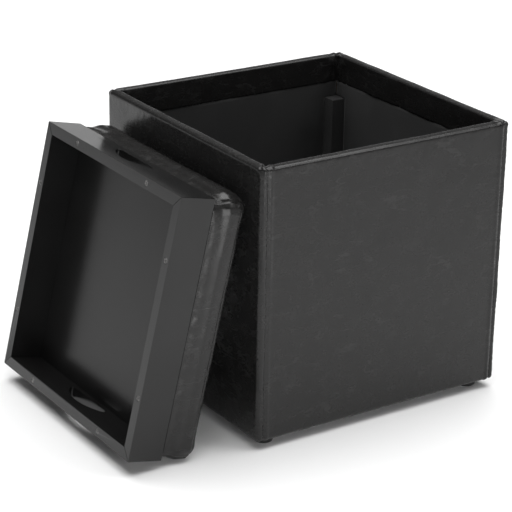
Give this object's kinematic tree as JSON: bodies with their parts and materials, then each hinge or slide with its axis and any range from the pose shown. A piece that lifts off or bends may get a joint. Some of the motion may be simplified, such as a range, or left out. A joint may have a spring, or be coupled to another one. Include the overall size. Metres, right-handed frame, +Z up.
{
  "type": "storage ottoman",
  "caption": "Faux leather storage cube with round glide feet and a loose lid, a soft cushion on one side and a framed tray with finger slots on the other, leaning on the cube.",
  "frame": {"origin": "on the floor, at the centre of the space that the cube and the leaning lid take up together", "axes": "+Z up, +X to the right, from the leaning lid towards the cube, +Y to the back"},
  "size_m": [0.5814, 0.4, 0.393],
  "materials": {
    "leather": "charcoal faux leather with a fine creased grain and a soft sheen",
    "painted_wood": "smooth satin black paint",
    "board": "raw fibreboard",
    "padding": "thin white wadding",
    "foam": "upholstery foam",
    "lining": "black non-woven cloth",
    "plastic": "black moulded plastic",
    "steel": "dark plated screw steel"
  },
  "bodies": {
    "cube": {"front_panel": "board", "right_panel": "board", "back_panel": "board", "left_panel": "board", "front_padding": "padding", "right_padding": "padding", "back_padding": "padding", "left_padding": "padding", "front_cover": "leather", "right_cover": "leather", "back_cover": "leather", "left_cover": "leather", "front_lining": "lining", "right_lining": "lining", "back_lining": "lining", "left_lining": "lining", "corner_post_front_left": "board", "corner_post_front_right": "board", "corner_post_back_right": "board", "corner_post_back_left": "board", "base_board": "board", "base_liner": "lining", "dust_cover": "lining", "foot_front_left": "plastic", "foot_front_right": "plastic", "foot_back_right": "plastic", "foot_back_left": "plastic", "foot_screw_front_left": "steel", "foot_screw_front_right": "steel", "foot_screw_back_right": "steel", "foot_screw_back_left": "steel"},
    "lid": {"tray_rail_front": "painted_wood", "tray_rail_right": "painted_wood", "tray_rail_back": "painted_wood", "tray_rail_left": "painted_wood", "tray_floor": "painted_wood", "lid_board": "board", "cushion_band": "leather", "cushion_top_panel": "leather", "cushion_foam": "foam", "tray_screw_front_a": "steel", "tray_screw_front_b": "steel", "tray_screw_right_a": "steel", "tray_screw_right_b": "steel", "tray_screw_back_a": "steel", "tray_screw_back_b": "steel", "tray_screw_left_a": "steel", "tray_screw_left_b": "steel"}
  },
  "joints": [
    {"name": "lid_swing", "type": "hinge", "parent": "cube", "child": "lid", "pos_m": [-0.13394, 0, 0.39998], "axis": [0, 1, 0], "range_deg": [0, 257.2]}
  ]
}
